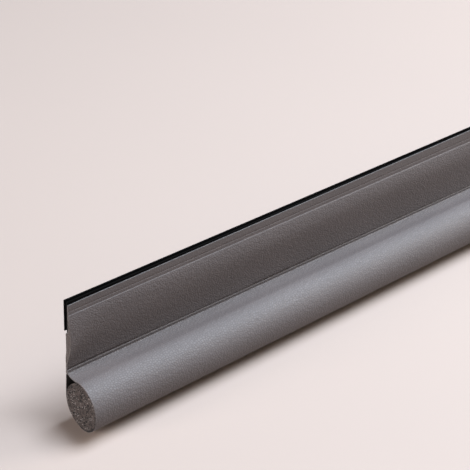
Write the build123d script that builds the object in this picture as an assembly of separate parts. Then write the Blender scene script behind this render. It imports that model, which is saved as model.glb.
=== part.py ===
from build123d import *
import os

os.makedirs("parts", exist_ok=True)

# One-sided door bottom seal, in millimetres. A sheet of faux leather is folded once round a foam
# rod. Its two long edges run back up the door together, welded to each other just above the rod
# and again near the top, where a hook-and-loop fastening holds them to the door.
# Frame: X runs along the door, +Y points into the door and +Z is up. The plane y = 0 is the door's
# face, and the origin is the middle of the adhesive face that sticks to it.

# Overall
length = 1000.0          # strip as sold, cut to the width of the door
rod_drop = 48.0          # from the middle of the fastening down to the middle of the sleeve
door_gap = 0.25          # between the door's face and the back of the roll
flange_gap = 0.65        # between the door's face and the flange, at its lower weld

# Foam rod
rod_diameter = 25.0
rod_slack = 0.35         # spare room round the rod in the sleeve, were it in the middle
rod_rest = 0.15          # room left at the back and below, where the rod lies
rod_inset = 0.1          # each end of the rod lies this far inside the cover's end

# Faux leather cover
sheet = 0.5              # skin and knitted backing together
bond = 0.05              # glue film between the two layers, at the welds
sleeve_slack = 0.75      # spare height of the sleeve over the rod
crease_drop = 0.95       # from the roll's crest down to the crease at the foot of the flange
dip_pull = 2.1           # how far the curve between them is pulled down below the crest
bulge = 1.35             # how far the front layer swells out between the welds
line_width = 1.1         # pressed line of a weld
line_depth = 0.25
line_margin = 0.85       # from the middle of a weld's line to its edge, where the pocket begins
lower_line = 2.1         # from the crease up to the line of the lower weld
upper_line = 1.85        # from the middle of the fastening up to the first line of the upper weld
line_pitch = 2.05        # from that line up to the second
trim_drop = 1.25         # the top edge was cut this much low at the left end
trim_run = 260.0         # length over which that slanting cut runs out

# Back layer, which turns in under the fastening and comes to the door
foot_gap = 0.05          # between the foot of the fastening and the bend under it
foot_bend = 1.6          # height of that bend
back_off = 1.2           # how far the back layer stands off the door below the bend
back_bow = 14.9          # height above the crease down to which it stands off like that
back_flat = 9.0          # height above the crease from which it lies against the front layer's line

# Hook-and-loop fastening, two woven strips of one width
strip_width = 18.0
selvedge = 1.0           # bare margin along each long edge
hook_web = 0.8           # woven base with the adhesive film on its back
hook_height = 0.7
loop_web = 0.7
pile_height = 0.75

# Handles of the soft curves, as shares of the run that each curve spans
fullest_at = 0.41        # where the front layer is fullest, down from the upper weld
spring_out = 0.6         # share of the bulge that the front layer springs out at the upper weld,
spring_drop = 0.2        # and the share of the way down to the fullest place over which it does
swell_handle = 0.45
crest_handle = 0.22
dip_handle = 0.5

# Faces of the layers, as y
fastening = hook_web + hook_height + pile_height + loop_web
two_layers = 2 * sheet + bond
back_high = -fastening
front_high = -(fastening + two_layers)
back_low = -flange_gap
front_low = -(flange_gap + two_layers)
front_full = front_high - bulge

# Sleeve round the rod
inner_radius = rod_diameter / 2 + rod_slack
outer_radius = inner_radius + sheet
sleeve_y = -(door_gap + outer_radius)
sleeve_z = -rod_drop
crown_z = sleeve_z + sleeve_slack
crest_z = crown_z + outer_radius
rod_shift = (rod_slack - rod_rest) / 2 ** 0.5

# Heights up the flange
top_z = strip_width / 2
crease_z = crest_z - crease_drop
weld_top = upper_line - line_margin
weld_foot = crease_z + lower_line + line_margin
full_z = weld_top - fullest_at * (weld_top - weld_foot)
bend_top = -(strip_width / 2 + foot_gap)
bend_foot = bend_top - foot_bend
bow_foot = crease_z + back_bow
flat_top = crease_z + back_flat
bend_lag = sheet / 2     # the inner side of the bend under the fastening lies this much lower


def soft_curve(start, end):
    """Curve that leaves one layer's line and joins another's, upright at both ends."""
    (y0, z0), (y1, z1) = start, end
    handle = swell_handle * (z1 - z0)
    return Bezier((y0, z0), (y0, z0 + handle), (y1, z1 - handle), (y1, z1))


def springing_curve(start, end):
    """Curve that springs out from a weld at a slant and ends upright where the layer is fullest."""
    (y0, z0), (y1, z1) = start, end
    out = (y0 + spring_out * (y1 - y0), z0 + spring_drop * (z1 - z0))
    return Bezier((y0, z0), out, (y1, z1 - swell_handle * (z1 - z0)), (y1, z1))


def ledge_curve(crest, crease):
    """Curve from the roll's crest, level at first, through the dip and up to the lower weld."""
    (y0, z0), (y1, z1) = crest, crease
    span = y1 - y0
    level = (y0 + crest_handle * span, z0)
    pulled = (y0 + dip_handle * span, z0 - dip_pull)
    return Bezier((y0, z0), level, pulled, (y1, z1))


def roll_curves(radius):
    """The sleeve from its crest, forward and down the front, under the rod and up to its back."""
    front = sleeve_y - radius
    return [
        CenterArc((sleeve_y, crown_z), radius, 90, 90),
        Line((front, crown_z), (front, sleeve_z)),
        CenterArc((sleeve_y, sleeve_z), radius, 180, 180),
    ]


def back_curves(inside, lag):
    """The back layer from the upper weld to the flat above the crease, that far inside its face."""
    high = back_high - inside
    off = -back_off - inside
    low = back_low - inside
    return [
        Line((high, weld_top), (high, bend_top - lag)),
        soft_curve((high, bend_top - lag), (off, bend_foot - lag)),
        Line((off, bend_foot - lag), (off, bow_foot)),
        soft_curve((off, bow_foot), (low, flat_top)),
    ]


def front_curves(inside):
    """The front layer from weld to weld, that far inside its face."""
    high = front_high + inside
    full = front_full + inside
    low = front_low + inside
    return [
        springing_curve((high, weld_top), (full, full_z)),
        soft_curve((full, full_z), (low, weld_foot)),
    ]


def closed_face(edges):
    """Flat face inside a closed chain of edges."""
    return make_face(Wire(edges))


def cover_outline():
    """Outer faces of the folded sheet: flange front, ledge, roll, back, and the raw top edge."""
    return closed_face([
        Line((back_high, top_z), (front_high, top_z)),
        Line((front_high, top_z), (front_high, weld_top)),
        *front_curves(0),
        Line((front_low, weld_foot), (front_low, crease_z)),
        ledge_curve((sleeve_y, crest_z), (front_low, crease_z)),
        *roll_curves(outer_radius),
        soft_curve((-door_gap, sleeve_z), (back_low, crease_z)),
        Line((back_low, crease_z), (back_low, flat_top)),
        *back_curves(0, 0),
        Line((back_high, weld_top), (back_high, top_z)),
    ])


def pocket():
    """Space between the two layers of the flange, from the upper weld to the lower one."""
    return closed_face([
        *back_curves(sheet, bend_lag),
        Line((back_low - sheet, flat_top), (back_low - sheet, weld_foot)),
        Line((back_low - sheet, weld_foot), (front_low + sheet, weld_foot)),
        *front_curves(sheet),
        Line((front_high + sheet, weld_top), (back_high - sheet, weld_top)),
    ])


def sleeve():
    """Space that holds the rod, with the three-cornered gap above it."""
    back = back_low - sheet
    throat_z = crease_z - sheet
    return closed_face([
        soft_curve((-door_gap - sheet, sleeve_z), (back, throat_z)),
        *roll_curves(inner_radius),
        ledge_curve((sleeve_y, crest_z - sheet), (front_low + sheet, throat_z)),
        Line((front_low + sheet, throat_z), (back, throat_z)),
    ])


def pressed_lines():
    """Round grooves that the welding bars leave in the front face."""
    radius = (line_width ** 2 / 4 + line_depth ** 2) / (2 * line_depth)
    reach = radius - line_depth
    places = [
        (front_high - reach, upper_line),
        (front_high - reach, upper_line + line_pitch),
        (front_low - reach, crease_z + lower_line),
    ]
    return [Pos(y, z) * Circle(radius) for y, z in places]


def along(section, run):
    """Carry a section in the Y-Z plane along X, half of the run to each side of the middle."""
    return extrude(Plane.YZ * section, amount=run / 2, both=True)


def slanting_trim():
    """Wedge that the slanting cut takes off the top edge at the left end."""
    left = -length / 2
    return extrude(
        Plane.XZ * make_face(Polyline(
            (left, top_z),
            (left, top_z - trim_drop),
            (left + trim_run, top_z),
            close=True,
        )),
        amount=2 * (fastening + two_layers),
        both=True,
    )


def make_cover():
    """Folded faux-leather sheet."""
    section = cover_outline() - pocket() - sleeve()
    for line in pressed_lines():
        section -= line
    return along(section, length) - slanting_trim()


def make_rod():
    """Round foam rod, which lies at the back and bottom of its sleeve, a little shorter than it."""
    place = Pos(0, sleeve_y + rod_shift, sleeve_z - rod_shift)
    return place * Rot(Y=90) * Cylinder(rod_diameter / 2, length - 2 * rod_inset)


def make_strip(web_back, web, face_height):
    """Woven strip: a full-width web, and hooks or pile that stop short of its selvedges.

    web_back is the y of the web's outer face. The face points away from it: a negative height
    stands towards the room, a positive one towards the door.
    """
    towards = -1 if face_height < 0 else 1
    web_middle = web_back + towards * web / 2
    face_middle = web_back + towards * web + face_height / 2
    section = Pos(web_middle, 0) * Rectangle(web, strip_width)
    section += Pos(face_middle, 0) * Rectangle(abs(face_height), strip_width - 2 * selvedge)
    return along(section, length)


def make_hook_strip():
    """Self-adhesive half, stuck to the door."""
    return make_strip(0, hook_web, -hook_height)


def make_loop_strip():
    """Half that is welded to the back of the cover, its pile pressed into the hooks."""
    return make_strip(-fastening, loop_web, pile_height)


nodes = {
    "cover": make_cover,
    "foam_rod": make_rod,
    "loop_strip": make_loop_strip,
    "hook_strip": make_hook_strip,
}

for name, make in nodes.items():
    export_step(make(), f"parts/{name}.step")
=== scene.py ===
"""Looks of the door bottom seal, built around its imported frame.

The seal is a sheet of faux leather folded once round a foam rod. Its two edges run up together,
welded to each other just above the roll and again near the top, with a hook-and-loop fastening
behind them. Sizes are in millimetres and become metres when a mesh is built. X runs along the
seal from its left end, +Y points out of the back and +Z is up, and the fastening's adhesive face
lies in the plane y = 0.
"""

import logging
import math
from collections.abc import Sequence
from dataclasses import dataclass
from enum import Enum

import bpy
import numpy as np
from mathutils import Matrix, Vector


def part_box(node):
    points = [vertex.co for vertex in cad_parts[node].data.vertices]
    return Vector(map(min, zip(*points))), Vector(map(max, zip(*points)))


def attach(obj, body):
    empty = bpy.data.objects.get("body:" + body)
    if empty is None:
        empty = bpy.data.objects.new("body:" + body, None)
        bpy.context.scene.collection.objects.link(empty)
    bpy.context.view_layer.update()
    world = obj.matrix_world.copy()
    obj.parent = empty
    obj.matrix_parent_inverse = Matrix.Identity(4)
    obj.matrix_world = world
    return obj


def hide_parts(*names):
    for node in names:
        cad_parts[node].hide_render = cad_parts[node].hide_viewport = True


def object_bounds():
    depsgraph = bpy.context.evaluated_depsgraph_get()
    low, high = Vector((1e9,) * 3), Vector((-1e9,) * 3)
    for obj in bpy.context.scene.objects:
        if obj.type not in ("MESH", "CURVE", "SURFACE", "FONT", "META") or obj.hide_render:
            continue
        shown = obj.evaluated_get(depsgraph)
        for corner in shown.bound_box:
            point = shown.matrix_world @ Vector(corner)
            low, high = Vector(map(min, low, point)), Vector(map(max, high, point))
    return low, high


Array = np.ndarray
Colour = tuple[float, float, float]
Point = tuple[float, float, float]
Pair = tuple[float, float]
Span = tuple[float, float]
Inputs = dict[str | int, object]

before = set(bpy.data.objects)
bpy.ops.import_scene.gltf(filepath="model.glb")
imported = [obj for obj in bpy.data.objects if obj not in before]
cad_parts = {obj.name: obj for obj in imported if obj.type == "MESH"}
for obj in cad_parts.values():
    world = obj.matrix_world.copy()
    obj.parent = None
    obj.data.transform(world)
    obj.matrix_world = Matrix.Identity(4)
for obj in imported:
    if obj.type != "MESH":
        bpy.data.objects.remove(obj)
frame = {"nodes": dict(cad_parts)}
CAD_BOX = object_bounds()

MM = 0.001
BODY = "root"
log = logging.getLogger("seal")


# Curves and surfaces


def bezier(points: Sequence[tuple[object, object]], steps: int) -> Array:
    """Points of a Bezier curve in the Y-Z plane, at even steps of its parameter.

    The curve is the sum of its control points, each times its Bernstein polynomial
    n! / (k! (n - k)!) * t^k * (1 - t)^(n - k).

    Args:
        points: Control points (y, z), each number alone or one for each station along the seal.
        steps: How many points to give. The last point is left out, for the next curve to start at.

    Returns:
        Array of shape (steps, stations, 2).
    """
    t = np.linspace(0.0, 1.0, steps, endpoint=False)[:, None, None]
    order = len(points) - 1
    total = 0.0
    for k, (y, z) in enumerate(points):
        y, z = np.broadcast_arrays(np.atleast_1d(y), np.atleast_1d(z))
        weight = math.comb(order, k) * t**k * (1.0 - t) ** (order - k)
        total = total + weight * np.stack([y, z], axis=-1)[None]
    return total


def straight(start: tuple[object, object], end: tuple[object, object], steps: int) -> Array:
    """Points of a straight line, as bezier gives them."""
    return bezier([start, end], steps)


def arc(centre: Pair, radius: object, start: float, sweep: float, steps: int) -> Array:
    """Points of an arc: centre + radius * (cos a, sin a), with a going evenly through the sweep.

    Args:
        centre: Middle of the arc, as (y, z).
        radius: Radius, alone or one for each station.
        start: First angle from +Y towards +Z, in degrees.
        sweep: How far the angle goes, in degrees.
        steps: How many points to give, without the last.

    Returns:
        Array of shape (steps, stations, 2).
    """
    a = np.radians(start + sweep * np.linspace(0.0, 1.0, steps, endpoint=False))[:, None]
    r = np.atleast_1d(radius)[None, :]
    return np.stack([centre[0] + r * np.cos(a), centre[1] + r * np.sin(a)], axis=-1)


def ease(value: Array) -> Array:
    """Smooth step from 0 to 1 as the value goes from 0 to 1: 3 v^2 - 2 v^3."""
    v = np.clip(value, 0.0, 1.0)
    return v * v * (3.0 - 2.0 * v)


@dataclass(frozen=True)
class Wander:
    """Slow wander of a number, as waves of several lengths whose phases a seed picks."""

    reach: float
    periods: tuple[float, ...]
    seed: int

    def at(self, x: Array) -> Array:
        """Work out reach * the mean of sin(2 pi x / period + phase) over the periods.

        Args:
            x: Places along the seal, or along the path.

        Returns:
            The wander at each place, from -reach to reach.
        """
        phases = np.random.default_rng(self.seed).uniform(0.0, 2.0 * np.pi, len(self.periods))
        waves = [np.sin(2.0 * np.pi * x / p + phase) for p, phase in zip(self.periods, phases)]
        return self.reach * np.mean(waves, axis=0)


def outward(path: Array) -> Array:
    """Unit normals of paths: their tangent (ty, tz), by central differences, turned to (tz, -ty).

    Args:
        path: Points (y, z), of shape (points, stations, 2).

    Returns:
        The normals, of the same shape.
    """
    tangent = np.gradient(path, axis=0)
    tangent /= np.linalg.norm(tangent, axis=-1, keepdims=True)
    return np.stack([tangent[..., 1], -tangent[..., 0]], axis=-1)


def quads(index: Array) -> Array:
    """Faces of a grid of vertex numbers, one for each square of it."""
    corners = [index[:-1, :-1], index[1:, :-1], index[1:, 1:], index[:-1, 1:]]
    return np.stack(corners, axis=-1).reshape(-1, 4)


@dataclass
class Shell:
    """Mesh of one piece while it is gathered: points in millimetres, faces, and values on points."""

    points: Array
    faces: Array
    depth: Array | None = None
    chart: Array | None = None

    @classmethod
    def ribbon(cls, outer: Array, inner: Array, x: Array) -> "Shell":
        """Closed wall between two paths that are carried along X.

        The outer face is the surface (x, outer path), the inner face (x, inner path), and strips
        of squares join them along both edges of the paths and at both ends. The depth of a point
        is 0 on the outer face and 1 on the inner one, and its chart is (x, length of the path).

        Args:
            outer: Points (y, z) of the outer face, of shape (points, stations, 2).
            inner: Points of the inner face, as many.
            x: Places of the stations, or of every point of the outer path.

        Returns:
            The closed shell.
        """
        rows, columns = outer.shape[:2]
        along = np.broadcast_to(x, (rows, columns))[..., None]
        walls = [np.concatenate([along, wall], axis=-1).reshape(-1, 3) for wall in (outer, inner)]
        out = np.arange(rows * columns).reshape(rows, columns)
        within = out + rows * columns
        faces = np.concatenate([
            quads(out),
            quads(within[:, ::-1]),
            quads(np.stack([within[0], out[0]])),
            quads(np.stack([out[-1], within[-1]])),
            quads(np.stack([within[:, 0], out[:, 0]], axis=1)),
            quads(np.stack([out[:, -1], within[:, -1]], axis=1)),
        ])
        steps = np.linalg.norm(np.diff(outer, axis=0), axis=-1)
        run = np.concatenate([np.zeros((1, columns)), steps.cumsum(axis=0)])
        chart = np.stack([along[..., 0], run], axis=-1).reshape(-1, 2)
        depth = np.repeat([0.0, 1.0], rows * columns)
        return cls(np.concatenate(walls), faces, depth, np.concatenate([chart, chart]))

    def build(self, name: str, material: bpy.types.Material, crease: float = 40.0) -> bpy.types.Object:
        """Make the Blender object, at the origin, with its place in its mesh.

        Args:
            name: Name of the piece.
            material: Its finish.
            crease: Edges that turn by more than this many degrees stay sharp.

        Returns:
            The object, linked to the scene.
        """
        mesh = bpy.data.meshes.new(name)
        mesh.from_pydata(self.points * MM, [], self.faces)
        if self.depth is not None:
            layer = mesh.attributes.new("depth", "FLOAT", "POINT")
            layer.data.foreach_set("value", self.depth.astype(np.float32))
        if self.chart is not None:
            corners = np.empty(len(mesh.loops), np.int32)
            mesh.loops.foreach_get("vertex_index", corners)
            uv = mesh.uv_layers.new(name="chart")
            uv.uv.foreach_set("vector", (self.chart[corners] * MM).astype(np.float32).ravel())
        mesh.polygons.foreach_set("use_smooth", np.ones(len(mesh.polygons), bool))
        mesh.set_sharp_from_angle(angle=math.radians(crease))
        mesh.materials.append(material)
        mesh.update()
        piece = bpy.data.objects.new(name, mesh)
        bpy.context.scene.collection.objects.link(piece)
        return piece


# Finishes


def metres(span: Span) -> Span:
    """Span in metres, as positions in a material are, of one in millimetres."""
    return span[0] * MM, span[1] * MM


# Sockets of a Mix node for colours, by number, because their names repeat
MIX_SHARE = 0
MIX_FIRST = 6
MIX_SECOND = 7
MIX_COLOUR = 2


class Reach(Enum):
    """What a distance in a field of cells is taken from."""

    POINT = "F1"
    EDGE = "DISTANCE_TO_EDGE"


class Signal:
    """Number that a socket carries. Python's arithmetic on it adds the Math nodes."""

    def __init__(self, bench: "Bench", socket: bpy.types.NodeSocket) -> None:
        """Wrap a socket of the bench's material."""
        self.bench = bench
        self.socket = socket

    def maths(self, operation: str, first: object, second: object = 0.0) -> "Signal":
        """Result of one Math node on two numbers or signals."""
        made = self.bench.node("ShaderNodeMath", {"operation": operation}, {0: first, 1: second})
        return Signal(self.bench, made.outputs[0])

    def __add__(self, other: object) -> "Signal":
        """Sum."""
        return self.maths("ADD", self, other)

    __radd__ = __add__

    def __sub__(self, other: object) -> "Signal":
        """Difference."""
        return self.maths("SUBTRACT", self, other)

    def __rsub__(self, other: object) -> "Signal":
        """Difference, with this one taken away."""
        return self.maths("SUBTRACT", other, self)

    def __mul__(self, other: object) -> "Signal":
        """Product."""
        return self.maths("MULTIPLY", self, other)

    __rmul__ = __mul__

    def sine(self) -> "Signal":
        """Sine of the number, in radians."""
        return self.maths("SINE", self)

    def over(self, low: float, high: float) -> "Signal":
        """Smooth step: 0 at low and 1 at high, held beyond them."""
        made = self.bench.node(
            "ShaderNodeMapRange",
            {"interpolation_type": "SMOOTHSTEP"},
            {"Value": self, "From Min": low, "From Max": high},
        )
        return Signal(self.bench, made.outputs["Result"])


class Bench:
    """Where one material is put together."""

    def __init__(self, name: str) -> None:
        """Start a material that holds only its surface shader.

        Args:
            name: Name of the material.
        """
        self.material = bpy.data.materials.new(name)
        self.material.use_nodes = True
        self.tree = self.material.node_tree
        self.surface = self.tree.nodes["Principled BSDF"]

    def node(
        self,
        kind: str,
        settings: dict[str, object] | None = None,
        inputs: Inputs | None = None,
    ) -> bpy.types.Node:
        """Add any node.

        Args:
            kind: Blender's name for the node.
            settings: Properties of the node, which are set first.
            inputs: Values, signals or sockets for its input sockets, by name or number.

        Returns:
            The node.
        """
        made = self.tree.nodes.new(kind)
        for key, value in (settings or {}).items():
            setattr(made, key, value)
        for key, value in (inputs or {}).items():
            self.feed(made.inputs[key], value)
        return made

    def feed(self, socket: bpy.types.NodeSocket, value: object) -> None:
        """Link a signal or a socket into a socket, or set the socket's own value.

        Args:
            socket: Input socket that takes the value.
            value: Signal, output socket, number, vector or colour.
        """
        if isinstance(value, Signal):
            self.tree.links.new(value.socket, socket)
        elif isinstance(value, bpy.types.NodeSocket):
            self.tree.links.new(value, socket)
        elif isinstance(value, tuple) and socket.type == "RGBA" and len(value) == 3:
            socket.default_value = (*value, 1.0)
        else:
            socket.default_value = value

    def place(self) -> bpy.types.NodeSocket:
        """Position on the piece, in metres."""
        return self.node("ShaderNodeTexCoord").outputs["Object"]

    def chart(self) -> bpy.types.NodeSocket:
        """Position on the flat sheet: metres along the seal and along the path."""
        return self.node("ShaderNodeUVMap", {"uv_map": "chart"}).outputs["UV"]

    def depth(self) -> Signal:
        """0 on the outer face of a sheet and 1 on its inner one."""
        made = self.node("ShaderNodeAttribute", {"attribute_name": "depth"})
        return Signal(self, made.outputs["Fac"])

    def height(self, where: bpy.types.NodeSocket) -> Signal:
        """Third number of a position."""
        made = self.node("ShaderNodeSeparateXYZ", inputs={"Vector": where})
        return Signal(self, made.outputs["Z"])

    def noise(
        self,
        where: bpy.types.NodeSocket,
        size: float,
        detail: float = 2.0,
        stretch: Point | None = None,
    ) -> Signal:
        """Noise about one half.

        Args:
            where: Position socket.
            size: Size of its lumps, in millimetres.
            detail: How many finer octaves it has.
            stretch: Factors on the position, for lumps that are longer one way.

        Returns:
            The noise, mostly from 0.3 to 0.7.
        """
        if stretch is not None:
            mapping = self.node("ShaderNodeMapping", inputs={"Vector": where, "Scale": stretch})
            where = mapping.outputs["Vector"]
        inputs = {"Vector": where, "Scale": 1.0 / (size * MM), "Detail": detail}
        made = self.node("ShaderNodeTexNoise", inputs=inputs)
        return Signal(self, made.outputs["Fac"])

    def cells(
        self,
        where: bpy.types.NodeSocket,
        size: float,
        reach: Reach = Reach.POINT,
        flat: bool = False,
    ) -> Signal:
        """Distance in a field of cells.

        Args:
            where: Position socket.
            size: Size of the cells, in millimetres.
            reach: What the distance is taken from.
            flat: Whether the cells lie in the chart of a sheet, and not in space.

        Returns:
            The distance, in sizes of a cell.
        """
        settings = {"feature": reach.value, "voronoi_dimensions": "2D" if flat else "3D"}
        inputs = {"Vector": where, "Scale": 1.0 / (size * MM)}
        made = self.node("ShaderNodeTexVoronoi", settings, inputs)
        return Signal(self, made.outputs["Distance"])

    def blend(self, share: Signal, low: object, high: object) -> bpy.types.NodeSocket:
        """Colour between two others.

        Args:
            share: How much of the second, from 0 to 1.
            low: First colour, as a tuple or a socket.
            high: Second colour.

        Returns:
            Socket of the mixed colour.
        """
        made = self.node("ShaderNodeMix", {"data_type": "RGBA"}, {MIX_SHARE: share})
        self.feed(made.inputs[MIX_FIRST], low)
        self.feed(made.inputs[MIX_SECOND], high)
        return made.outputs[MIX_COLOUR]

    def relief(self, height: Signal, depth: float) -> bpy.types.NodeSocket:
        """Normal of a surface with the given relief, whose height 1 is a depth in millimetres."""
        inputs = {"Strength": 1.0, "Distance": depth * MM, "Height": height}
        return self.node("ShaderNodeBump", inputs=inputs).outputs["Normal"]

    def finish(self, **sockets: object) -> bpy.types.Material:
        """Feed the surface shader's sockets.

        Args:
            sockets: Values by the names of the sockets, with underscores for spaces.

        Returns:
            The material.
        """
        for key, value in sockets.items():
            self.feed(self.surface.inputs[key.replace("_", " ")], value)
        return self.material


@dataclass(frozen=True)
class FauxLeather:
    """Pebbled skin with a satin sheen on a knitted backing. Cut edges show a dark film and a core.

    Sizes and heights are in millimetres. Shares of the sheet's thickness count from its skin.
    """

    name: str = "faux_leather"

    # Colours; rim and sleeve are painted shade on the cut edge and the inner face below the crease
    skin: Colour = (0.098, 0.078, 0.075)
    hollows: Colour = (0.060, 0.048, 0.047)
    film: Colour = (0.022, 0.018, 0.018)
    core: Colour = (0.060, 0.050, 0.048)
    # Painted shade: the cut edge below the crease, darker than the same core higher up
    rim: Colour = (0.016, 0.013, 0.013)
    backing: Colour = (0.45, 0.41, 0.40)
    backing_shade: Colour = (0.30, 0.27, 0.265)
    # Painted shade: the inner face inside the sleeve, in place of the pale backing
    sleeve: Colour = (0.030, 0.026, 0.025)

    # Grain of the skin and knit of the backing
    pebble: float = 1.4
    pebble_gap: float = 0.30
    pebble_share: float = 0.82
    pebble_colour: float = 0.55
    fine: float = 0.25
    crease_size: float = 1.9
    cast: float = 38.0
    thread: float = 0.5
    thread_stretch: Point = (1.0, 1.0, 2.2)
    thread_span: Span = (0.34, 0.62)

    # Shares of the thickness and heights over which one look gives way to the next
    film_span: Span = (0.01, 0.05)
    skin_span: Span = (0.22, 0.34)
    back_span: Span = (0.96, 0.995)
    # Heights where the painted shade inside the sleeve begins
    sleeve_span: Span = (-36.0, -35.0)
    weld_span: Span = (0.1, 1.1)
    weld_press: float = 0.6

    # Relief and gloss
    relief_depth: float = 0.135
    grain_relief: float = 0.6
    swell_relief: float = 2.4
    mean_relief: float = 1.6
    roughness: float = 0.58
    hollow_rough: float = 0.14
    swell_rough: float = 0.06
    back_rough: float = 0.9

    def make(self) -> bpy.types.Material:
        """Put the material together.

        Its relief is that of the pebbles and the creases on the skin, flatter where the upper
        weld has pressed it, and that of the knit below the skin.

        Returns:
            The material.
        """
        bench = Bench(self.name)
        where = bench.place()
        chart = bench.chart()
        pebbles = bench.cells(chart, self.pebble, Reach.EDGE, flat=True).over(0.0, self.pebble_gap)
        swells = bench.noise(chart, self.crease_size, detail=3.0)
        fine = bench.noise(chart, self.fine, detail=1.0)
        grain = pebbles * self.pebble_share + fine * (1.0 - self.pebble_share)
        cast = bench.noise(where, self.cast)
        knit = bench.noise(where, self.thread, stretch=self.thread_stretch)
        depth = bench.depth()
        under = depth.over(*self.skin_span)
        height = bench.height(where)
        # Mask of painted shade: 1 below the crease, round the rod in the sleeve
        sleeve_shade_mask = 1.0 - height.over(*metres(self.sleeve_span))
        weld = height.over(*metres(self.weld_span)) * self.weld_press
        tone = grain * self.pebble_colour + cast * (1.0 - self.pebble_colour)
        face = bench.blend(tone, self.hollows, self.skin)
        skin = bench.blend(depth.over(*self.film_span), face, self.film)
        pale = bench.blend(knit.over(*self.thread_span), self.backing_shade, self.backing)
        # Cut edge: core above the crease, painted shade (rim) below it
        edge = bench.blend(sleeve_shade_mask, self.core, self.rim)
        # Inner face: knitted backing above the crease, painted shade (sleeve) below it
        lining_and_sleeve_shade = bench.blend(sleeve_shade_mask, pale, self.sleeve)
        # Face behind the skin: cut edge, then inner face, both with painted shade below the crease
        back = bench.blend(depth.over(*self.back_span), edge, lining_and_sleeve_shade)
        relief = grain * self.grain_relief + swells * self.swell_relief - self.mean_relief
        relief = relief * (1.0 - under) * (1.0 - weld) + knit * under
        rough = self.roughness + (1.0 - pebbles) * self.hollow_rough + swells * self.swell_rough
        return bench.finish(
            Base_Color=bench.blend(under, skin, back),
            Roughness=rough * (1.0 - under) + self.back_rough * under,
            Normal=bench.relief(relief, self.relief_depth),
            Specular_IOR_Level=0.5,
        )


@dataclass(frozen=True)
class OpenCellFoam:
    """Dark foam: a matt skeleton of pale walls round dark pores."""

    name: str = "foam"
    walls: Colour = (0.27, 0.24, 0.23)
    body: Colour = (0.041, 0.031, 0.0285)
    pores: Colour = (0.006, 0.0045, 0.0045)

    pore: float = 1.7
    pore_wall: Span = (0.02, 0.16)
    speck: float = 0.9
    speck_size: Span = (0.20, 0.42)
    speck_share: float = 0.55
    mottle: float = 1.6
    mottle_span: Span = (0.44, 0.51)
    patch: float = 2.6
    patch_span: Span = (0.47, 0.57)

    relief_depth: float = 0.30
    wall_reach: float = 0.4
    wall_relief: float = 0.8
    speck_relief: float = 0.5

    def make(self) -> bpy.types.Material:
        """Put the material together.

        Pores are dark between the walls of a field of cells, in patches, and pale specks show
        where the torn walls catch the light.

        Returns:
            The material.
        """
        bench = Bench(self.name)
        where = bench.place()
        walls = bench.cells(where, self.pore, Reach.EDGE)
        specks = bench.cells(where, self.speck)
        mottle = bench.noise(where, self.mottle, detail=3.0)
        patch = bench.noise(where, self.patch)
        hollow = walls.over(*self.pore_wall) * mottle.over(*self.mottle_span)
        shine = (1.0 - specks.over(*self.speck_size)) * patch.over(*self.patch_span)
        colour = bench.blend(hollow, self.body, self.pores)
        colour = bench.blend(shine * self.speck_share, colour, self.walls)
        sunk = walls.over(0.0, self.wall_reach) * self.wall_relief
        relief = 1.0 - sunk + specks * self.speck_relief
        return bench.finish(
            Base_Color=colour,
            Roughness=0.85,
            Normal=bench.relief(relief, self.relief_depth),
            Specular_IOR_Level=0.25,
        )


@dataclass(frozen=True)
class WovenBlack:
    """Black nylon weave, ribbed across, with a smooth adhesive film where one is asked for."""

    name: str
    film: bool = False
    thread: Colour = (0.0026, 0.0024, 0.0024)
    gap: Colour = (0.0012, 0.0011, 0.0011)

    pitch: float = 0.55
    weft: float = 0.8
    fuzz: float = 0.3
    fuzz_share: float = 0.3
    relief_depth: float = 0.06
    roughness: float = 0.82
    thread_gloss: float = 0.1

    film_span: Span = (-0.06, -0.03)
    film_rough: float = 0.32
    dimple: float = 1.8
    dimple_relief: float = 0.4

    def make(self) -> bpy.types.Material:
        """Put the material together.

        The weave is 1/2 + 1/2 sin(turns z) sin(turns weft x), with turns = 2 pi / pitch.

        Returns:
            The material.
        """
        bench = Bench(self.name)
        where = bench.place()
        split = bench.node("ShaderNodeSeparateXYZ", inputs={"Vector": where})
        x, y, z = (Signal(bench, split.outputs[axis]) for axis in "XYZ")
        turns = 2.0 * math.pi / (self.pitch * MM)
        weave = (z * turns).sine() * (x * (turns * self.weft)).sine() * 0.5 + 0.5
        fuzz = bench.noise(where, self.fuzz)
        height = weave * (1.0 - self.fuzz_share) + fuzz * self.fuzz_share
        rough = self.roughness - self.thread_gloss * weave
        if self.film:
            cover = y.over(*metres(self.film_span))
            dimple = bench.noise(where, self.dimple)
            height = height * (1.0 - cover) + dimple * self.dimple_relief * cover
            rough = rough * (1.0 - cover) + self.film_rough * cover
        return bench.finish(
            Base_Color=bench.blend(weave, self.gap, self.thread),
            Roughness=rough,
            Normal=bench.relief(height, self.relief_depth),
            Specular_IOR_Level=0.035,
        )


@dataclass(frozen=True)
class Pale:
    """Plain pale floor with a faint unevenness."""

    name: str = "floor"
    light: Colour = (0.325, 0.256, 0.224)
    shade: Colour = (0.314, 0.247, 0.216)
    drift: float = 240.0

    def make(self) -> bpy.types.Material:
        """Put the material together.

        Returns:
            The material.
        """
        bench = Bench(self.name)
        drift = bench.noise(bench.place(), self.drift, detail=1.0)
        return bench.finish(Base_Color=bench.blend(drift, self.shade, self.light), Roughness=0.75)


# Pieces


def node_box(node: str) -> tuple[Array, Array]:
    """Lowest and highest corner of a CAD node, in millimetres."""
    low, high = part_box(node)
    return np.array(low) / MM, np.array(high) / MM


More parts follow.
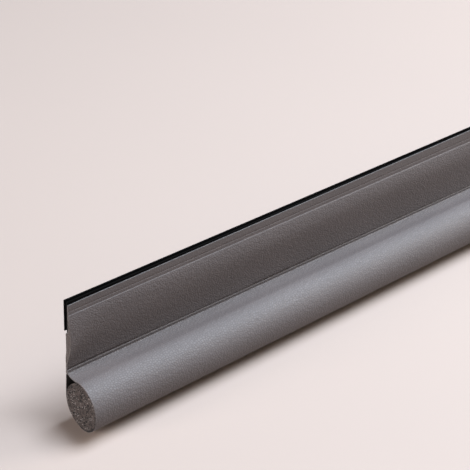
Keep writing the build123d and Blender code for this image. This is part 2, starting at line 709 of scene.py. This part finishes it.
@dataclass(frozen=True)
class Frame:
    """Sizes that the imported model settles, in millimetres."""

    left: float
    right: float
    top: float
    back_high: float
    rod_y: float
    rod_z: float
    rod_radius: float
    rod_left: float
    rod_right: float

    @classmethod
    def read(cls) -> "Frame":
        """Take the sizes from the boxes of the CAD nodes.

        Returns:
            The sizes.
        """
        cover_low, cover_high = node_box("cover")
        rod_low, rod_high = node_box("foam_rod")
        loop_low, _ = node_box("loop_strip")
        middle = (rod_low + rod_high) / 2.0
        return cls(
            left=cover_low[0],
            right=cover_high[0],
            top=cover_high[2],
            back_high=loop_low[1],
            rod_y=middle[1],
            rod_z=middle[2],
            rod_radius=(rod_high[2] - rod_low[2]) / 2.0,
            rod_left=rod_low[0],
            rod_right=rod_high[0],
        )


@dataclass(frozen=True)
class EndCut:
    """Hand-made cut of the left end, which runs out of square from the back towards the front."""

    skew: float = 1.2
    back: float = -3.0
    front: float = -26.0
    reach: float = 6.0

    def shift(self, y: Array, run: Array) -> Array:
        """How far points move along X: -skew * ease(share of the way to the front) * exp(-run / reach).

        Args:
            y: Places of the points from back to front.
            run: Distances from the left end.

        Returns:
            The shift of each point, in millimetres.
        """
        share = ease((y - self.back) / (self.front - self.back))
        return -self.skew * share * np.exp(-run / self.reach)


@dataclass(frozen=True)
class Groove:
    """Line that a welding bar has pressed into the front face."""

    height: float
    depth: float
    above: float
    below: float
    slope: float = 0.0

    def press(self, z: Array, run: Array) -> Array:
        """Depth of the groove: depth * (1 - t^2)^2, with t from 0 on the line to 1 at its edges.

        Args:
            z: Heights of the points.
            run: Distances from the left end, over which the line slants.

        Returns:
            How far the face is pressed in, at each point.
        """
        away = z - (self.height + self.slope * run)
        t = np.where(away > 0.0, away / self.above, away / self.below)
        return self.depth * np.clip(1.0 - t * t, 0.0, 1.0) ** 2


@dataclass(frozen=True)
class Course:
    """What changes along the seal: one number for each station, in millimetres."""

    run: Array
    slant: Array
    top: Array
    crease: Array
    front_low: Array
    back_low: Array


@dataclass(frozen=True)
class Steps:
    """How many points the parts of the cover's path have, from the raw top edge round to its back."""

    trim: int = 7
    weld: int = 40
    spring: int = 18
    slope: int = 24
    foot: int = 20
    corner: int = 6
    ledge: int = 96
    ledge_stride: int = 5
    crown: int = 20
    side: int = 1
    belly: int = 34
    rise: int = 8
    flat: int = 3
    bow: int = 7
    hang: int = 4
    bend: int = 12
    high: int = 7


@dataclass
class Cover:
    """The folded sheet: flange, pocket, crease, ledge, roll and back."""

    frame: Frame

    # Sheet, and how far its back lies before the plane of the adhesive face
    sheet: float = 0.5
    bond: float = 0.05
    roll_gap: float = 0.25
    flange_gap: float = 0.65

    # Sleeve, crease and ledge
    rod_slack: float = 0.35
    rod_rest: float = 0.15
    sleeve_slack: float = 0.75
    crease_drop: float = 0.95
    crease_round: float = 0.50
    crease_rise: float = 0.35
    crease_slant: float = -0.0009
    low_slant: float = 0.0032
    slant_run: float = 300.0
    dip_pull: float = 2.55
    crest_handle: float = 0.28
    dip_handle: float = 0.45

    # Front layer between the welds, at the left end and further along
    weld_line: float = 4.2
    weld_top: float = 1.15
    weld_foot: float = -31.9
    full_left: float = -5.0
    full_right: float = -6.5
    full_wander: Wander = Wander(0.8, (410.0, 233.0, 151.0), seed=3)
    bulge_left: float = 0.62
    bulge_right: float = 0.95
    bulge_wander: Wander = Wander(0.10, (290.0, 173.0, 97.0), seed=5)
    change_from: float = 30.0
    change_to: float = 130.0
    spring_out: float = 0.5
    spring_drop: float = 0.2
    swell_handle: float = 0.45
    slope_handles_left: Pair = (0.45, 0.30)
    slope_handles_right: Pair = (0.22, 0.42)
    gape: float = 0.75
    gape_drop: float = 9.0
    gape_run: float = 8.0

    # Back layer
    bend_top: float = -9.05
    bend_foot: float = -10.25
    back_off: float = 1.2
    bow_foot: float = -19.95
    flat_top: float = -25.85

    # Cuts: the slanting top edge, the left end and the crease that springs open there
    trim_drop: float = 1.62
    trim_run: float = 320.0
    nick: float = 0.25
    nick_run: float = 4.0
    flare: float = 0.55
    flare_run: float = 3.5
    flare_reach: float = 1.9
    flare_way: Pair = (-0.5, 0.87)
    cut: EndCut = EndCut()

    # Waver of the roll, along the seal and round the path, with its rows of points
    waver: Wander = Wander(0.07, (83.0, 57.0, 31.0), seed=8)
    waver_round: Wander = Wander(1.0, (19.0, 41.0), seed=9)
    waver_rows: int = 50
    fade_rows: int = 12

    # Stations along the seal, closer together over the rounded edges and near the ends
    end_round: float = 0.12
    end_run: float = 14.0
    round_stations: int = 4
    end_stations: int = 12
    middle_stations: int = 172
    steps: Steps = Steps()

    # Pressed lines of the welds, of which the second presses the whole band above it
    grooves: tuple[Groove, ...] = (
        Groove(height=3.60, depth=0.16, above=0.70, below=0.45),
        Groove(height=1.70, depth=0.32, above=30.0, below=0.50, slope=-0.001),
        Groove(height=-32.15, depth=0.44, above=0.52, below=0.88, slope=-0.0018),
    )

    def __post_init__(self) -> None:
        """Work out the faces and heights that the sizes lead to."""
        layers = 2.0 * self.sheet + self.bond
        shift = (self.rod_slack - self.rod_rest) / math.sqrt(2.0)
        self.back_high = self.frame.back_high
        self.front_high = self.back_high - layers
        self.back_low = -self.flange_gap
        self.front_low = self.back_low - layers
        self.radius = self.frame.rod_radius + self.rod_slack + self.sheet
        self.axis = (self.frame.rod_y - shift, self.frame.rod_z + shift)
        self.crown = (self.axis[0], self.axis[1] + self.sleeve_slack)
        self.crest = self.crown[1] + self.radius
        self.crease = self.crest - self.crease_drop

    def stations(self) -> Array:
        """Places along the seal: close together near the ends, where the cut sheet springs open.

        Returns:
            The places, from the left end to the right one.
        """
        left, right = self.frame.left, self.frame.right
        turn = np.linspace(0.0, np.pi / 2.0, self.round_stations, endpoint=False)
        rounded = self.end_round * (1.0 - np.cos(turn))
        opening = np.linspace(self.end_round, self.end_run, self.end_stations, endpoint=False)
        near = np.concatenate([rounded, opening])
        middle = np.linspace(left + self.end_run, right - self.end_run, self.middle_stations)
        return np.concatenate([left + near, middle, (right - near)[::-1]])

    def soft(self, start: tuple, end: tuple, steps: int) -> Array:
        """Curve that is upright at both ends."""
        handle = self.swell_handle * (np.asarray(end[1]) - start[1])
        return bezier([start, (start[0], start[1] + handle), (end[0], end[1] - handle), end], steps)

    def course(self, x: Array) -> Course:
        """Work out what changes along the seal.

        The top edge is cut low by trim_drop at the left end, less and less over trim_run, with a
        nick of nick * exp(-run / nick_run). Crease and lower flange slant evenly over slant_run.

        Args:
            x: Places of the stations.

        Returns:
            The numbers at each station.
        """
        run = x - self.frame.left
        slant = np.minimum(run, self.slant_run)
        trimmed = self.trim_drop * np.clip(1.0 - run / self.trim_run, 0.0, 1.0)
        return Course(
            run=run,
            slant=slant,
            top=self.frame.top - trimmed - self.nick * np.exp(-run / self.nick_run),
            crease=self.crease + self.crease_rise + self.crease_slant * slant,
            front_low=self.front_low - self.low_slant * slant,
            back_low=self.back_low - self.low_slant * slant,
        )

    def front(self, course: Course) -> list[Array]:
        """Parts of the front layer's face, from the raw top edge down to the crease.

        The layer springs out from the upper weld at a slant, is fullest lower down, and comes
        back to the lower weld. Further along the seal it is fuller, and its fullest place lower.
        The cut left end gapes by gape * exp(-run / gape_run).

        Args:
            course: What changes along the seal.

        Returns:
            Arrays of shape (points, stations, 2).
        """
        run = course.run
        change = ease((run - self.change_from) / (self.change_to - self.change_from))
        opened = np.exp(-run / self.gape_run)
        full_z = self.full_left + (self.full_right - self.full_left) * change
        full_z = full_z - self.gape_drop * opened + self.full_wander.at(run)
        bulge = self.bulge_left + (self.bulge_right - self.bulge_left) * change
        bulge = (bulge + self.gape * opened) * (1.0 + self.bulge_wander.at(run))
        high, low = self.front_high, course.front_low
        full_y = high - bulge
        fall = full_z - self.weld_top
        sprung = (high - self.spring_out * bulge, self.weld_top + self.spring_drop * fall)
        upper = (full_y, full_z - self.swell_handle * fall)
        rise = full_z - self.weld_foot
        leave, join = (
            left + (right - left) * change
            for left, right in zip(self.slope_handles_left, self.slope_handles_right)
        )
        slope = [
            (full_y, full_z),
            (full_y, full_z - leave * rise),
            (low, self.weld_foot + join * rise),
            (low, self.weld_foot),
        ]
        return [
            straight((high, course.top), (high, self.weld_line), self.steps.trim),
            straight((high, self.weld_line), (high, self.weld_top), self.steps.weld),
            bezier([(high, self.weld_top), sprung, upper, (full_y, full_z)], self.steps.spring),
            bezier(slope, self.steps.slope),
            straight(slope[-1], (low, course.crease + self.crease_round), self.steps.foot),
        ]

    def ledge(self, course: Course) -> list[Array]:
        """Parts of the face from the crease, rounded off, through the dip and up to the crest.

        Args:
            course: What changes along the seal.

        Returns:
            Arrays of shape (points, stations, 2).
        """
        low, crease = course.front_low, course.crease
        span = low - self.axis[0]
        whole = bezier([
            (low, crease),
            (self.axis[0] + self.dip_handle * span, self.crest - self.dip_pull),
            (self.axis[0] + self.crest_handle * span, self.crest),
            (self.axis[0], self.crest),
        ], self.steps.ledge)
        turn = int(np.argmax(whole[:, 0, 0] < self.front_low - self.crease_round))
        corner = [(low, crease + self.crease_round), (low, crease), tuple(whole[turn].T)]
        return [bezier(corner, self.steps.corner), whole[turn::self.steps.ledge_stride]]

    def roll(self) -> list[Array]:
        """Parts of the face round the rod, from the crest to the back of the roll.

        Returns:
            Arrays of shape (points, 1, 2), alike at every station.
        """
        front = self.axis[0] - self.radius
        return [
            arc(self.crown, self.radius, 90.0, 90.0, self.steps.crown),
            straight((front, self.crown[1]), (front, self.axis[1]), self.steps.side),
            arc(self.axis, self.radius, 180.0, 180.0, self.steps.belly),
        ]

    def back(self, course: Course) -> list[Array]:
        """Parts of the back layer's face, from the roll up to the raw top edge.

        Args:
            course: What changes along the seal.

        Returns:
            Arrays of shape (points, stations, 2).
        """
        low, off, high = course.back_low, -self.back_off, self.back_high
        end = np.stack([np.full_like(course.top, high), course.top], axis=-1)
        return [
            self.soft((-self.roll_gap, self.axis[1]), (low, self.crease), self.steps.rise),
            straight((low, self.crease), (low, self.flat_top), self.steps.flat),
            self.soft((low, self.flat_top), (off, self.bow_foot), self.steps.bow),
            straight((off, self.bow_foot), (off, self.bend_foot), self.steps.hang),
            self.soft((off, self.bend_foot), (high, self.bend_top), self.steps.bend),
            straight((high, self.bend_top), (high, course.top), self.steps.high),
            end[None],
        ]

    def paths(self, x: Array) -> tuple[Array, Array]:
        """Outer and inner face of the sheet at each station.

        The outer path goes down the flange's front, along the ledge, round the roll and up the
        back, and the inner path lies one sheet inside it. The pressed lines are sunk along the
        normals of the front. A faint waver is added to the roll, and near the left end the
        crease springs open by flare * exp(-run / flare_run) * exp(-(distance / flare_reach)^2).
        At both ends the outer face drops by r - sqrt(r^2 - (r - distance)^2) within r = end_round.

        Args:
            x: Places of the stations.

        Returns:
            Two arrays of shape (points, stations, 2).
        """
        course = self.course(x)
        run = course.run
        front = self.front(course)
        ledge = self.ledge(course)
        parts = front + ledge + self.roll() + self.back(course)
        outer = np.concatenate([np.broadcast_to(part, (len(part), len(x), 2)) for part in parts])
        row = np.arange(len(outer))[:, None]
        flange_rows = sum(len(part) for part in front)
        front_rows = flange_rows + sum(len(part) for part in ledge)
        away = np.hypot(outer[..., 0] - course.front_low, outer[..., 1] - course.crease)
        near_crease = np.exp(-((away / self.flare_reach) ** 2)) * (row < front_rows)
        flared = self.flare * np.exp(-run / self.flare_run) * near_crease
        outer = outer + flared[..., None] * np.array(self.flare_way)
        normal = outward(outer)
        fade_in = ease((row - flange_rows) / self.fade_rows)
        fade_out = ease((front_rows + self.waver_rows - row) / self.fade_rows)
        ripple = self.waver.at(run) * self.waver_round.at(row) * fade_in * fade_out
        outer = outer + normal * ripple[..., None]
        inner = outer - self.sheet * normal
        pressed = sum(groove.press(outer[..., 1], course.slant[None]) for groove in self.grooves)
        outer = outer - normal * (pressed * (row < flange_rows))[..., None]
        short = self.end_round - np.minimum(np.minimum(run, run[::-1]), self.end_round)
        drop = self.end_round - np.sqrt(self.end_round**2 - short**2)
        return outer - normal * drop[..., None], inner

    def build(self, finish: FauxLeather) -> bpy.types.Object:
        """Make the piece.

        Args:
            finish: Its finish.

        Returns:
            The folded cover.
        """
        x = self.stations()
        outer, inner = self.paths(x)
        places = x + self.cut.shift(outer[..., 0], x - self.frame.left)
        piece = Shell.ribbon(outer, inner, places).build("folded_cover", finish.make())
        steps = np.linalg.norm(np.diff((outer + inner) / 2.0, axis=0), axis=-1)
        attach(piece, BODY)
        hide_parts("cover")
        return piece


@dataclass
class FoamRod:
    """Round foam rod with torn pores on its cut ends."""

    frame: Frame

    # Mesh: squares across an end, and rings of points along the side
    squares: int = 72
    rings: int = 40
    ring_inset: float = 4.0

    # Torn pores
    pores: int = 900
    pore_least: float = 0.22
    pore_most: float = 0.62
    pore_depth: float = 0.42
    left_seed: int = 11
    right_seed: int = 12
    bare_rim: float = 0.04

    # Rounded rim, lean of the left end and pressed front
    end_round: float = 0.22
    round_share: float = 0.1
    lean: float = 0.75
    lean_angle: float = -45.0
    press: float = 0.60
    press_angle: float = 160.0
    cut: EndCut = EndCut()

    def disc(self) -> tuple[Array, Array]:
        """Even grid on a unit disc.

        A square grid (a, b) is drawn onto the disc ring by ring: the larger of |a| and |b| is the
        radius, and the smaller over the larger, times 45 degrees, is the angle from that axis.

        Returns:
            Both coordinates of the grid's points.
        """
        a, b = np.meshgrid(*[np.linspace(-1.0, 1.0, self.squares + 1)] * 2, indexing="ij")
        wide = np.abs(a) >= np.abs(b)
        big = np.where(wide, a, b)
        ratio = np.divide(np.where(wide, b, a), big, out=np.zeros_like(a), where=big != 0.0)
        angle = np.where(wide, ratio * np.pi / 4.0, np.pi / 2.0 - ratio * np.pi / 4.0)
        return big * np.cos(angle), big * np.sin(angle)

    def section(self, u: Array, v: Array) -> tuple[Array, Array]:
        """Points of the rod's section, whose front the sleeve presses flatter.

        A point moves in by press * c^3 along the way of the press, with c its share of the radius
        on that side.

        Args:
            u: First coordinate on the unit disc.
            v: Second coordinate.

        Returns:
            Both coordinates from the rod's axis, in millimetres.
        """
        way = math.radians(self.press_angle)
        squeeze = self.press * np.clip(u * math.cos(way) + v * math.sin(way), 0.0, 1.0) ** 3
        radius = self.frame.rod_radius
        return u * radius - squeeze * math.cos(way), v * radius - squeeze * math.sin(way)

    def dents(self, y: Array, z: Array, seed: int) -> Array:
        """Depth of the pores: for each one, depth * (1 - (distance / radius)^2) within its radius.

        Args:
            y: First coordinate on the end, from the rod's axis.
            z: Second coordinate.
            seed: Picks the pores.

        Returns:
            The depth at each point.
        """
        rng = np.random.default_rng(seed)
        reach = self.frame.rod_radius * np.sqrt(rng.uniform(0.0, 1.0, self.pores))
        angle = rng.uniform(0.0, 2.0 * np.pi, self.pores)
        size = rng.uniform(self.pore_least, self.pore_most, self.pores)
        far = (y[..., None] - reach * np.cos(angle)) ** 2 + (z[..., None] - reach * np.sin(angle)) ** 2
        bowls = np.clip(1.0 - far / size**2, 0.0, 1.0) * size / self.pore_most
        return self.pore_depth * np.clip(bowls.sum(-1), 0.0, 1.0)

    def ends(self) -> tuple[Array, Array]:
        """Points of both cut ends, with their pores and rounded rims.

        The left end leans, and follows the slanting cut of the cover. The right end is plain.

        Returns:
            Two arrays of shape (squares + 1, squares + 1, 3).
        """
        f = self.frame
        u, v = self.disc()
        y, z = self.section(u, v)
        spread = np.hypot(u, v)
        fall = self.end_round * np.clip(1.0 - (1.0 - spread) / self.round_share, 0.0, 1.0) ** 2
        whole = np.clip((1.0 - spread) / self.bare_rim, 0.0, 1.0)
        lean = math.radians(self.lean_angle)
        slant = self.cut.shift(y + f.rod_y, np.zeros_like(y))
        slant = slant - self.lean * (u * math.cos(lean) + v * math.sin(lean))
        left = f.rod_left + fall + self.dents(y, z, self.left_seed) * whole + slant
        right = f.rod_right - fall - self.dents(y, z, self.right_seed) * whole
        return tuple(np.stack([x, y + f.rod_y, z + f.rod_z], axis=-1) for x in (left, right))

    def rim(self) -> tuple[Array, Array]:
        """Grid places round the edge of the disc's grid, in order.

        Returns:
            Their rows and their columns.
        """
        n = self.squares
        side = np.arange(n)
        full = np.full(n, n)
        none = np.zeros(n, int)
        rows = np.concatenate([full, n - side, none, side])
        columns = np.concatenate([side, full, n - side, none])
        return rows, columns

    def build(self, finish: OpenCellFoam) -> bpy.types.Object:
        """Make the piece: two dented discs, joined round their rims by the rod's side.

        Args:
            finish: Its finish.

        Returns:
            The foam core.
        """
        f = self.frame
        ends = self.ends()
        rim = self.rim()
        across = self.squares + 1
        left = np.arange(across * across).reshape(across, across)
        right = left + left.size
        middle_x = np.linspace(f.rod_left + self.ring_inset, f.rod_right - self.ring_inset, self.rings)
        sides = np.repeat(ends[0][rim][None], self.rings, axis=0)
        sides[..., 0] = middle_x[:, None]
        numbers = np.arange(sides[..., 0].size).reshape(self.rings, -1) + 2 * left.size
        chain = np.concatenate([left[rim][None], numbers, right[rim][None]])
        chain = np.concatenate([chain, chain[:, :1]], axis=1)
        faces = np.concatenate([quads(left)[:, ::-1], quads(right), quads(chain)[:, ::-1]])
        points = np.concatenate([part.reshape(-1, 3) for part in (*ends, sides)])
        piece = Shell(points, faces).build("foam_core", finish.make(), crease=60.0)
        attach(piece, BODY)
        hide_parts("foam_rod")
        return piece


class Facing(Enum):
    """Way that the working side of a fastening strip faces."""

    FRONT = -1
    BACK = 1


@dataclass
class Strip:
    """One half of the fastening: a ribbed web, with the layer that grips standing on it."""

    node: str
    slot: str
    facing: Facing
    web: float
    margin: float = 1.0
    rib: float = 0.9
    rib_depth: float = 0.07
    thinning: float = 0.22
    thin_run: float = 0.35
    columns: int = 41
    rows: int = 161

    def heel(self) -> float:
        """y of the web's smooth outer face."""
        low, high = node_box(self.node)
        return low[1] if self.facing is Facing.BACK else high[1]

    def rib_wave(self, z: Array) -> Array:
        """Ribs along the web: depth * (1 - |sin(pi z / rib)|)."""
        return self.rib_depth * (1.0 - np.abs(np.sin(np.pi * z / self.rib)))

    def hand_over(self, piece: bpy.types.Object) -> bpy.types.Object:
        """Let a finished piece stand for the CAD node.

        Args:
            piece: The web, or the layer on it.

        Returns:
            The same piece.
        """
        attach(piece, BODY)
        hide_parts(self.node)
        return piece

    def build_web(self, material: bpy.types.Material) -> bpy.types.Object:
        """Make the web: a flat ribbon whose working side is ribbed, with thinned edges.

        Within thin_run of an edge each side falls by thinning * web * (1 - distance / thin_run)^2.

        Args:
            material: Its finish.

        Returns:
            The web.
        """
        low, high = node_box(self.node)
        x = np.linspace(low[0], high[0], self.columns)
        z = np.linspace(high[2], low[2], self.rows)
        edge = np.minimum(high[2] - z, z - low[2])
        thin = self.thinning * self.web * np.clip(1.0 - edge / self.thin_run, 0.0, 1.0) ** 2
        heel = self.heel() + self.facing.value * thin
        face = self.heel() + self.facing.value * (self.web - thin - self.rib_wave(z))
        sides = (heel, face) if self.facing is Facing.BACK else (face, heel)
        front, back = (np.repeat(np.stack([y, z], -1)[:, None], len(x), axis=1) for y in sides)
        return self.hand_over(Shell.ribbon(front, back, x).build(self.node + "_web", material))


@dataclass
class LoopStrip(Strip):
    """Soft half, with a looped pile."""

    pile_columns: int = 900
    pile_rows: int = 41
    inset: float = 0.2
    ragged: Wander = Wander(0.16, (3.1, 2.3, 4.7), seed=21)
    shoulder: int = 14
    shoulder_least: float = 0.02
    lump: float = 1.7
    lump_depth: float = 0.3
    lump_stretch: float = 1.1
    lump_drift: float = 1.7

    def lumps(self, x: Array, z: Array) -> Array:
        """Lumps from 0 to 1: 1/2 + 1/4 (sin(w x) sin(stretch w z) + sin(drift w (x + z))).

        Here w is 2 pi / lump.

        Args:
            x: Places along the strip, as a row.
            z: Places across it, one for each place of the pile.

        Returns:
            The share of the lumps' depth at each place.
        """
        turn = 2.0 * np.pi / self.lump
        woven = np.sin(x * turn) * np.sin(z * turn * self.lump_stretch)
        drifting = np.sin((x + z) * turn * self.lump_drift)
        return 0.5 + 0.25 * (woven + drifting)

    def build_pile(self, material: bpy.types.Material) -> bpy.types.Object:
        """Make the pile: a low cushion with ragged edges, rounded shoulders and a lumpy face.

        With t from -1 to 1 across the pile, its height is sqrt(1 - |t|^shoulder) of the full one,
        less the lumps.

        Args:
            material: Its finish.

        Returns:
            The pile.
        """
        low, high = node_box(self.node)
        x = np.linspace(low[0] + self.inset, high[0] - self.inset, self.pile_columns)
        half = (high[2] - low[2]) / 2.0 - self.margin
        t = np.linspace(1.0, -1.0, self.pile_rows)[:, None]
        z = t * (half + self.ragged.at(x)[None])
        crown = np.clip(1.0 - np.abs(t) ** self.shoulder, self.shoulder_least, 1.0) ** 0.5
        foot = low[1] + self.web - self.rib_depth
        top = foot + (high[1] - foot) * crown * (1.0 - self.lump_depth * self.lumps(x[None], z))
        front = np.stack([np.full_like(z, foot), z], axis=-1)
        back = np.stack([top, z], axis=-1)
        pile = Shell.ribbon(front, back, x).build(self.node + "_pile", material, crease=80.0)
        return self.hand_over(pile)


@dataclass
class HookStrip(Strip):
    """Stiff half, with rows of moulded hooks."""

    pitch_along: float = 2.2
    pitch_across: float = 1.9
    end_inset: float = 1.2
    row_inset: float = 0.3
    jitter: float = 0.15
    seed: int = 31
    wire: float = 0.11
    bend_share: float = 0.36
    turn: float = 150.0
    turn_points: int = 5
    wire_corners: tuple[float, ...] = (0.0, 120.0, 240.0)

    def hook(self, rise: float) -> Array:
        """Points of one hook: a wire of three sides along an arch that stands on the origin.

        The arch rises straight and then turns over: at the angle a it is at
        x = bend (1 - cos a) and rise - bend - wire + bend sin a off the web.

        Args:
            rise: Height of the hook over the web.

        Returns:
            Array of shape (points of the arch, corners of the wire, 3).
        """
        bend = rise * self.bend_share
        a = np.radians(np.linspace(0.0, self.turn, self.turn_points))
        lift = np.concatenate([[0.0], rise - bend - self.wire + bend * np.sin(a)])
        lean = np.concatenate([[0.0], bend - bend * np.cos(a)])
        centre = np.stack([lean, -lift], axis=-1)
        ahead = np.gradient(centre, axis=0)
        ahead /= np.linalg.norm(ahead, axis=-1, keepdims=True)
        across = np.stack([-ahead[:, 1], ahead[:, 0]], axis=-1)
        corner = np.radians(self.wire_corners)
        flat = centre[:, None] + self.wire * np.cos(corner)[:, None] * across[:, None]
        up = np.broadcast_to(self.wire * np.sin(corner), flat.shape[:2])
        return np.concatenate([flat, up[..., None]], axis=-1)

    def build_hooks(self, material: bpy.types.Material) -> bpy.types.Object:
        """Make the hooks: one hook, repeated over the web with a small jitter.

        Rows next to each other turn their hooks opposite ways, by a half turn about Y.

        Args:
            material: Their finish.

        Returns:
            The hooks.
        """
        low, high = node_box(self.node)
        foot = self.heel() - (self.web - self.rib_depth)
        hook = self.hook(foot - low[1])
        index = np.arange(hook[..., 0].size).reshape(hook.shape[:2])
        hook = hook.reshape(-1, 3)
        sides = quads(np.concatenate([index, index[:, :1]], axis=1))[:, ::-1]
        caps = np.stack([index[0, ::-1], index[-1]])
        half = (high[2] - low[2]) / 2.0 - self.margin - self.row_inset
        rows = np.linspace(-half, half, int(2 * half / self.pitch_across) + 1)
        columns = np.arange(low[0] + self.end_inset, high[0] - self.end_inset, self.pitch_along)
        x, z = np.meshgrid(columns, rows, indexing="ij")
        jitter = np.random.default_rng(self.seed).uniform(-self.jitter, self.jitter, (2, *x.shape))
        places = np.stack([x + jitter[0], np.full_like(x, foot), z + jitter[1]], axis=-1)
        way = np.broadcast_to(np.where(np.arange(len(rows)) % 2 == 0, 1.0, -1.0), x.shape)
        ways = np.stack([way, np.ones_like(way), way], axis=-1)
        hooks = places.reshape(-1, 1, 3) + hook[None] * ways.reshape(-1, 1, 3)
        offset = (np.arange(len(hooks)) * len(hook))[:, None, None]
        faces = (sides[None] + offset).reshape(-1, sides.shape[1]).tolist()
        faces += (caps[None] + offset).reshape(-1, caps.shape[1]).tolist()
        shell = Shell(hooks.reshape(-1, 3), faces)
        return self.hand_over(shell.build(self.node + "_hooks", material, crease=80.0))


# Setting


UP: Point = (0.0, 0.0, 1.0)
LIT_END: Point = (-0.35, 0.0, -0.03)


def turned(right: Array, up: Array, back: Array, place: Array) -> Matrix:
    """World matrix of a camera or light.

    Args:
        right: Its unit X axis.
        up: Its unit Y axis.
        back: Its unit Z axis, away from what it faces.
        place: Where it stands, in metres.

    Returns:
        The matrix.
    """
    turn = np.eye(4)
    turn[:3] = np.stack([right, up, back, place], axis=1)
    return Matrix(turn.tolist())


@dataclass(frozen=True)
class Softbox:
    """Square area light, with its place and aim in metres."""

    name: str
    place: Point
    size: float
    power: float
    tint: Colour
    aim: Point = LIT_END

    def build(self) -> None:
        """Hang the light, facing its aim."""
        lamp = bpy.data.lights.new(self.name, "AREA")
        lamp.shape = "SQUARE"
        lamp.size = self.size
        lamp.energy = self.power
        lamp.color = self.tint
        holder = bpy.data.objects.new(self.name, lamp)
        bpy.context.scene.collection.objects.link(holder)
        back = np.array(self.place) - np.array(self.aim)
        back /= np.linalg.norm(back)
        side = np.cross(UP, back)
        side /= np.linalg.norm(side)
        holder.matrix_world = turned(side, np.cross(back, side), back, np.array(self.place))


@dataclass(frozen=True)
class Studio:
    """Camera at the photograph's viewpoint, pale floor and soft light."""

    # Camera, with its place in millimetres
    yaw: float = 43.21
    pitch: float = 31.50
    roll: float = 2.83
    focal_pixels: float = 1429.0
    picture_pixels: float = 470.0
    sensor: float = 36.0
    eye: Point = (-829.5, -468.9, 397.9)
    clip_end: float = 50.0

    # Floor: half its width in metres, and its distance below the roll in millimetres
    floor_half: float = 6.0
    floor_clearance: float = 2.0

    # Light
    ambient: float = 0.02
    ambient_tint: Colour = (1.0, 0.93, 0.90)
    lights: tuple[Softbox, ...] = (
        Softbox("key", (0.46, -0.34, 1.77), size=1.3, power=131.0, tint=(0.74, 0.87, 1.0)),
        Softbox("side", (1.40, -0.62, 0.72), size=1.0, power=29.0, tint=(1.0, 0.92, 0.79)),
        Softbox("end", (-2.28, 0.15, 0.40), size=1.0, power=65.0, tint=(1.0, 0.97, 0.95)),
    )

    def build_camera(self) -> None:
        """Set the camera: turned by yaw about Z from +Y, down by pitch, and rolled about its axis."""
        yaw, pitch, roll = (math.radians(angle) for angle in (self.yaw, self.pitch, self.roll))
        level = np.array([math.sin(yaw), math.cos(yaw), 0.0])
        ahead = level * math.cos(pitch) - np.array(UP) * math.sin(pitch)
        right = np.array([math.cos(yaw), -math.sin(yaw), 0.0])
        up = np.cross(right, ahead)
        data = bpy.data.cameras.new("camera")
        data.sensor_width = self.sensor
        data.lens = self.sensor * self.focal_pixels / self.picture_pixels
        data.clip_end = self.clip_end
        camera = bpy.data.objects.new("camera", data)
        bpy.context.scene.collection.objects.link(camera)
        camera.matrix_world = turned(
            right * math.cos(roll) + up * math.sin(roll),
            up * math.cos(roll) - right * math.sin(roll),
            -ahead,
            np.array(self.eye) * MM,
        )
        bpy.context.scene.camera = camera

    def build_floor(self, bottom: float) -> None:
        """Lay the floor just under the roll.

        Args:
            bottom: Height of the floor, in millimetres.
        """
        h = self.floor_half / MM
        corners = np.array([[-h, -h, bottom], [h, -h, bottom], [h, h, bottom], [-h, h, bottom]])
        floor = Shell(corners, np.array([[0, 1, 2, 3]])).build("floor", Pale().make())

    def build_world(self) -> None:
        """Add a faint even light from all round, and show colours as they are."""
        world = bpy.data.worlds.new("studio")
        world.use_nodes = True
        background = world.node_tree.nodes["Background"]
        background.inputs["Color"].default_value = (*self.ambient_tint, 1.0)
        background.inputs["Strength"].default_value = self.ambient
        bpy.context.scene.world = world
        bpy.context.scene.view_settings.view_transform = "Standard"

    def build(self) -> None:
        """Set up everything that isn't the seal."""
        self.build_camera()
        self.build_floor(CAD_BOX[0][2] / MM - self.floor_clearance)
        for light in self.lights:
            light.build()
        self.build_world()


def report(piece: bpy.types.Object) -> None:
    """Say what was built."""
    log.info("%s: %d faces", piece.name, len(piece.data.polygons))


def main() -> None:
    """Build the setting and then the seal, piece by piece."""
    logging.basicConfig(level=logging.INFO, format="%(name)s: %(message)s")
    sizes = Frame.read()
    Studio().build()
    report(Cover(sizes).build(FauxLeather()))
    report(FoamRod(sizes).build(OpenCellFoam()))
    loops = LoopStrip("loop_strip", "loop_weave", Facing.BACK, web=0.7)
    loop_finish = WovenBlack("loop_weave").make()
    report(loops.build_web(loop_finish))
    report(loops.build_pile(loop_finish))
    hooks = HookStrip("hook_strip", "hook_weave", Facing.FRONT, web=0.8)
    hook_finish = WovenBlack("hook_weave", film=True).make()
    report(hooks.build_web(hook_finish))
    report(hooks.build_hooks(hook_finish))


if __name__ == "__main__":
    main()
